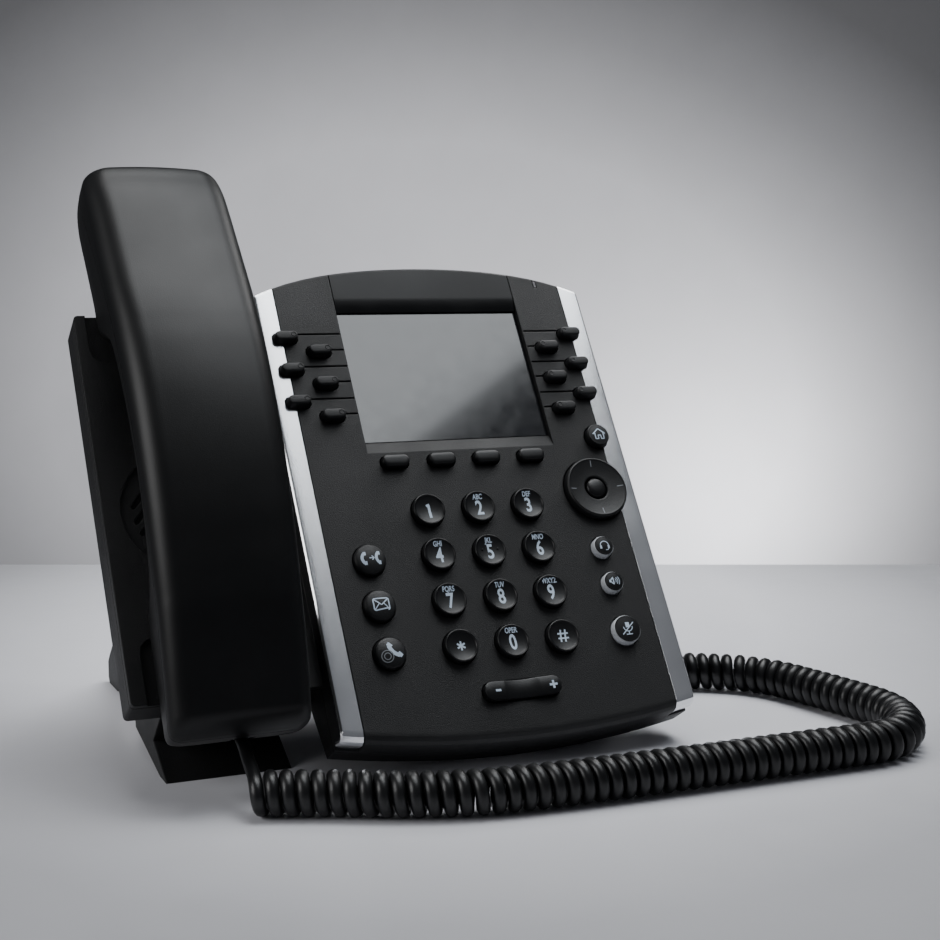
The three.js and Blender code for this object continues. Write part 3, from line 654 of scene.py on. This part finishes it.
ring = [(4.3, -5.2), (12.8, -5.2), (12.8, -4.1), (RING, -4.1), (RING, 1.7), (RING - 0.08, 2.2),
        (RING - 0.28, 2.6), (RING - 0.55, 2.85), (RING - 0.8, 2.88), (RING - 0.98, 2.76)]
ring += [(r, hollow(r)) for r in (RING - 1.05 - k * (RING - 5.8) / 12 for k in range(13))]
ring += [(4.55, 1.6), (4.36, 1.3), (4.3, 0.9), (4.3, -5.2)]
add_lathe(bm, ring, sides=112)
piece("navigation_ring_body", bm, "matt_key", "navigation_ring", ["navigation_ring"],
      place_at(*NAV), 40)
bm = bmesh.new()
for turn in (0, 90, 180, 270):
    a = math.radians(turn)
    lay_stroke(bm, [(8.3 * math.cos(a), 8.3 * math.sin(a)), (10.6 * math.cos(a), 10.6 * math.sin(a))],
               0.3, hollow)
piece("navigation_marks", bm, "legend_dim", "navigation_ring", place=place_at(*NAV))
bm = bmesh.new()
add_lathe(bm, [(0, FOOT), (3.85, FOOT), (3.85, 1.0), (3.75, 1.6), (3.4, 2.1), (2.8, 2.34),
               (1.6, 2.52), (0, 2.58)], sides=48)
piece("select_cap", bm, "key", "select_key", ["select_key"], place_at(*NAV), 40)

# volume rocker
ROCKER = (-0.5, -42)
bm = bmesh.new()
loops, half, r = [], 14.2, 3.3


def saddle(x):
    """Height of the rocker's top, with a finger scoop across its middle."""
    scoop = max(0, 1 - (abs(x) / 6.5) ** 2)
    return 1.75 + 0.65 * (abs(x) / half) ** 2 - 0.75 * scoop


for k in range(-40, 41):
    x = half * math.sin(math.pi / 2 * k / 40)
    end = max(0, abs(x) - (half - r))
    w = max(0.15, math.sqrt(max(0, r * r - end * end)))
    top = saddle(x)
    inset = min(0.45, w * 0.6)
    loops.append([(x, -w, -4.2), (x, -w, top - 0.55), (x, -w + inset * 0.3, top - 0.15), (x, -w + inset, top),
                  (x, w - inset, top), (x, w - inset * 0.3, top - 0.15), (x, w, top - 0.55), (x, w, -4.2)])
add_loft(bm, loops)
add_loft(bm, [flat_loop(stadium(0, 0, half + 0.9, r + 0.9), z) for z in (-5.4, -3.9)])
piece("volume_rocker_body", bm, "key", "volume_rocker", ["volume_rocker"],
      place_at(*ROCKER), 40)
bm = bmesh.new()
lay_stroke(bm, [(-10.2, 0), (-8.2, 0)], 0.75, saddle)
lay_stroke(bm, [(9.7, 0), (12.5, 0)], 0.75, saddle)
lay_stroke(bm, [(11.1, -1.4), (11.1, 1.4)], 0.75, saddle)
piece("volume_marks", bm, "legend", "volume_rocker", place=place_at(*ROCKER))

# ---------------------------------------------------------------- carried-over CAD nodes
PAINT = {
    "front_housing": "body", "rear_housing": "body", "desk_stand": "stand", "header_strip": "header",
    "trim_left": "silver", "trim_right": "silver", "message_light": "light", "main_board": "board",
    "display_module": "panel", "loudspeaker": "cone", "hook_switch": "header", "navigation_dome": "silicone",
    "handset_receiver": "cone", "handset_microphone": "steel", "handset_plug": "clear", "base_plug": "clear",
}
for node, material in PAINT.items():
    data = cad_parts[node].data
    data.materials.clear()
    data.materials.append(MAT[material])
SPLIT_ANGLE = math.radians(19)
for node in ("front_housing", "rear_housing", "desk_stand", "header_strip", "trim_left", "trim_right"):
    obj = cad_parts[node]
    obj.data.shade_smooth()
    weld = obj.modifiers.new("weld", "WELD")
    weld.merge_threshold = 0.00001
    split = obj.modifiers.new("split", "EDGE_SPLIT")
    split.split_angle = SPLIT_ANGLE
    obj.modifiers.new("normals", "WEIGHTED_NORMAL").weight = 100

# display window: smoked glass over a switched-off panel
glass, tree, shader = make_material("display_glass")
tone = blend_colour(tree, noise(tree, 25, 2), (0.006, 0.0066, 0.008), (0.0075, 0.0082, 0.01))
wire(tree, tone, "Color", shader, "Base Color")
wire(tree, ramp(tree, noise(tree, 180, 3), 0.1, 0.16), 0, shader, "Roughness")
shader.inputs["Coat Weight"].default_value = 0.6
shader.inputs["Coat Roughness"].default_value = 0.06
shader.inputs["IOR"].default_value = 1.6
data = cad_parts["display_window"].data
data.materials.clear()
data.materials.append(glass)

# ---------------------------------------------------------------- floor, background, light
# STAGE: millimetres from under the camera, along its heading
STAGE = (Matrix.Translation((EYE[0] * MM, EYE[1] * MM, 0)) @ Matrix.Rotation(HEADING, 4, "Z")
         @ Matrix.Scale(MM, 4))
EDGE, WALL = 926, 3426


def sheet(name, rows, step=800):
    """A wide strip square to the photograph's direction, through rows of (distance, height)."""
    bm = bmesh.new()
    add_loft(bm, [[(x, y, z) for x in range(-4000, 4001, step)] for y, z in rows], caps=False, closed=False)
    obj = to_object(name, bm, STAGE)
    return obj


# the desk ends where the photograph's horizon is, and falls away behind it to the foot of the wall
desk = sheet("desk", [(-2600, -0.05), (0, -0.05), (EDGE - 12, -0.05), (EDGE - 4, -0.4), (EDGE, -1.2),
                      (WALL, -560)])
wall = sheet("backdrop", [(WALL, -600), (WALL, 600), (WALL, 2600)])


def paper_with_painted_light_pool(name, centre, reach, stops, rough):
    """Pale paper with a painted light pool: its colour darkens away from centre as painted shade; stops are
    (nearness, tone).
    """
    mat, tree, shader = make_material(name)
    coords, place, fade = (tree.nodes.new("ShaderNode" + kind)
                           for kind in ("TexCoord", "Mapping", "TexGradient"))
    place.vector_type = "TEXTURE"
    place.inputs["Location"].default_value = STAGE @ Vector(centre)
    place.inputs["Rotation"].default_value = (0, 0, HEADING)
    place.inputs["Scale"].default_value = Vector(reach) * MM
    fade.gradient_type = "SPHERICAL"
    wire(tree, coords, "Object", place, "Vector")
    wire(tree, place, 0, fade, "Vector")
    (near, low), (mid, half), (far, high) = stops
    # painted shade: the colour ramp runs from dark far from centre to light near it, standing in for a pool
    # of light
    tone = blend_colour(tree, fade, (low, low, low * 1.05), (high, high, high * 1.05), near, far)
    tone.color_ramp.elements.new(mid).color = (half, half, half * 1.05, 1)
    speckle = tree.nodes.new("ShaderNodeMixRGB")
    speckle.blend_type = "MULTIPLY"
    speckle.inputs["Fac"].default_value = 1.0
    wire(tree, tone, "Color", speckle, "Color1")
    faint = blend_colour(tree, noise(tree, 9, 3), (0.96, 0.96, 0.96), (1, 1, 1))
    wire(tree, faint, "Color", speckle, "Color2")
    wire(tree, speckle, "Color", shader, "Base Color")
    wire(tree, ramp(tree, noise(tree, 60, 3), rough - 0.05, rough + 0.05), 0, shader, "Roughness")
    return mat


# the desk's colour carries a painted light pool around the phone, fading to painted shade further out
desk.data.materials.append(paper_with_painted_light_pool("desk_painted_light_pool", (-10, 800, 70), (480, 760, 520),
                                         ((0.12, 0.12), (0.45, 0.38), (0.66, 0.8)), 0.51))
# the backdrop's colour carries a painted glow near its lower middle, fading to painted shade towards its
# edges and corners
wall.data.materials.append(paper_with_painted_light_pool("backdrop_painted_glow_and_shade", (-100, WALL, -100), (1950, 1950, 1350),
                                         ((0.27, 0.17), (0.42, 0.33), (0.6, 0.6)), 0.75))

world = bpy.data.worlds.new("studio")
bpy.context.scene.world = world
world.use_nodes = True
sky = world.node_tree.nodes["Background"]
sky.inputs["Color"].default_value = (0.62, 0.65, 0.72, 1)
sky.inputs["Strength"].default_value = 0.16


def softbox(name, where, target, width, height, power, up=(0, 0, 1), colour=(1, 1, 1)):
    data = bpy.data.lights.new(name, "AREA")
    data.shape, data.size, data.size_y = "RECTANGLE", width, height
    data.energy, data.color = power, colour
    obj = bpy.data.objects.new(name, data)
    bpy.context.scene.collection.objects.link(obj)
    back = (Vector(where) - Vector(target)).normalized()
    side = Vector(up).cross(back).normalized()
    turn = Matrix((side, back.cross(side), back)).transposed().to_4x4()
    obj.matrix_world = Matrix.Translation(where) @ turn
    return obj


softbox("left_fill", (-1.1, -0.1, 0.6), (-0.05, 0, 0.1), 0.7, 0.7, 9)
softbox("desk_glow", STAGE @ Vector((190, EDGE - 60, 450)), STAGE @ Vector((165, EDGE - 110, 0)),
        0.2, 0.2, 0.8)
# the main panel hangs over the left front, its right edge mirrored across the display
display = Vector((0.036, -0.007, 0.128))
toward = Vector((0.39, -0.42, 0.82)).normalized()
level = Vector((0, 1, 0)).cross(toward).normalized()
steep = toward.cross(level)
edge = (level * 0.62 + steep * 0.78).normalized()
off = toward.cross(edge).normalized()
PANEL, PANEL_AWAY = (1.1, 0.9), 1.2
centre = display + toward * PANEL_AWAY + level * 0.092 - steep * 0.04 + edge * 0.22 + off * (PANEL[0] / 2)
softbox("main_panel", centre, display, PANEL[0], PANEL[1], 12, up=edge, colour=(0.92, 0.965, 1.0))
softbox("top_panel", (0.1, 0.1, 1.25), (0.05, 0.05, 0), 1.0, 0.4, 7)


def wall_lamp(name, x, z, gap, power, soft):
    """A wide lamp that faces the wall squarely from gap in front of it."""
    data = bpy.data.lights.new(name, "SPOT")
    data.energy, data.spot_size, data.spot_blend, data.shadow_soft_size = power, math.radians(160), 0.5, soft
    lamp = bpy.data.objects.new(name, data)
    bpy.context.scene.collection.objects.link(lamp)
    lamp.location = STAGE @ Vector((x, WALL - gap, z))
    lamp.rotation_euler = (STAGE @ Vector((x, WALL, z)) - lamp.location).to_track_quat("-Z", "Y").to_euler()


wall_lamp("wall_glow", 555, -320, 370, 19, 0.15)
wall_lamp("wall_wash", -200, 80, 1300, 60, 0.3)
